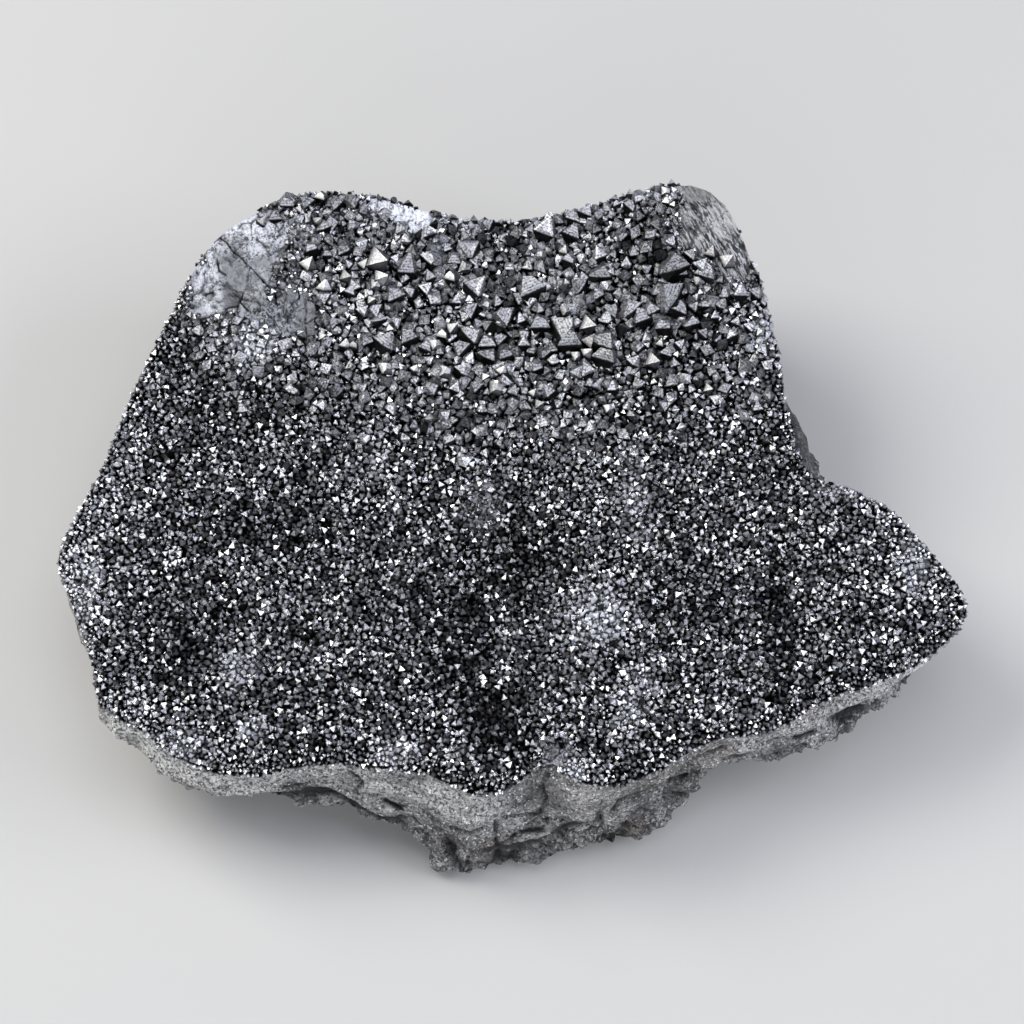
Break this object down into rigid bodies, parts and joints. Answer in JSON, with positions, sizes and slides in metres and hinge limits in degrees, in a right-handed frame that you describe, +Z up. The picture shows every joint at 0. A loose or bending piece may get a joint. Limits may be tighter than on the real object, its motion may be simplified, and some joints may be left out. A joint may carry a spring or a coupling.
{
  "type": "mineral specimen",
  "caption": "Loose plate of grey manganese ore, lying on its rough side, with a crust of black pyramid-shaped hausmannite crystals over its upper face.",
  "frame": {"origin": "bottom centre of the specimen's box, on the surface it lies on", "axes": "+Z up through the crystal face, +X along the plate's longest extent, -Y towards the broken front edge with the compact grey band"},
  "size_m": [0.1078, 0.0822, 0.0283],
  "materials": {
    "ore_matrix": "broken grey manganese ore, dull with a faint metallic sparkle",
    "hausmannite_crust": "black submetallic crystal faces, bright where they face the light"
  },
  "bodies": {
    "root": {"ore_matrix": "ore_matrix", "hausmannite_crust": "hausmannite_crust"}
  },
  "joints": []
}
